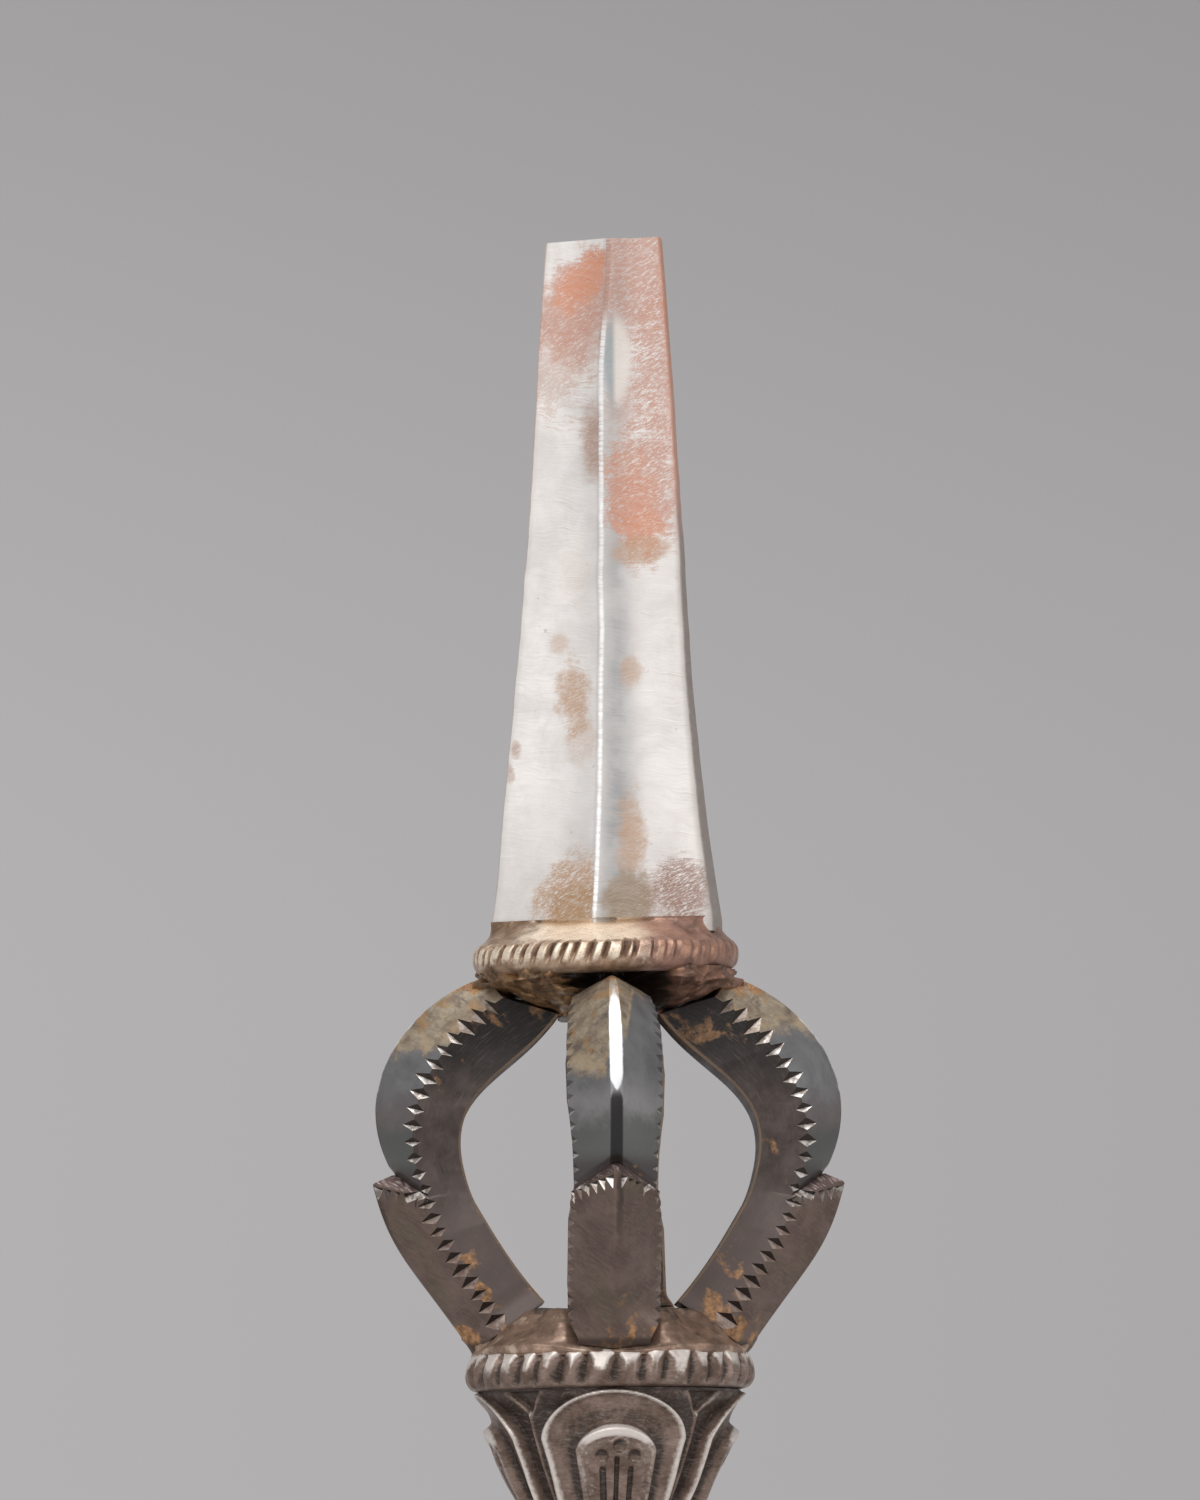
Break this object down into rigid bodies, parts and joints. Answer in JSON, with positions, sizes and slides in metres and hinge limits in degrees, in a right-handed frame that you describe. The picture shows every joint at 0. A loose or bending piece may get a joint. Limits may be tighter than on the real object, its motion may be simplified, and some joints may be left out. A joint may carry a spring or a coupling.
{
  "type": "ritual flaying knife",
  "caption": "Kartika with a ridged blade finial, an open prong cage with notched shoulders, lotus cups round a knob grip, and a hooked crescent blade.",
  "frame": {"origin": "middle of the grip knob, on the handle's axis", "axes": "+Z along the handle towards the finial blade, +Y square to the flat of the crescent blade, away from the pictured front, +X towards the crescent's hook"},
  "size_m": [0.158, 0.0471, 0.2437],
  "materials": {
    "blade_steel": "filed bright with copper and brown heat stains",
    "prong_steel": "filed, dark, with blue-grey and straw heat tints",
    "brown_iron": "forged and chiselled, brown patina with pale worn edges",
    "brazed_bronze": "iron run over with bronze braze, half bright"
  },
  "bodies": {
    "root": {"finial_blade": "blade_steel", "blade_collar": "brazed_bronze", "cage_cap": "brazed_bronze", "prong_front": "prong_steel", "prong_right": "prong_steel", "prong_back": "prong_steel", "prong_left": "prong_steel", "cage_base": "brown_iron", "cage_ring": "brown_iron", "upper_lotus": "brown_iron", "upper_waist_rings": "brazed_bronze", "grip_knob": "brown_iron", "lower_waist_rings": "brazed_bronze", "lower_lotus": "brown_iron", "bolster_ring": "brown_iron", "core_rod": "prong_steel", "bolster": "brown_iron", "bolster_rivets": "brazed_bronze", "crescent_blade": "blade_steel"}
  },
  "joints": []
}
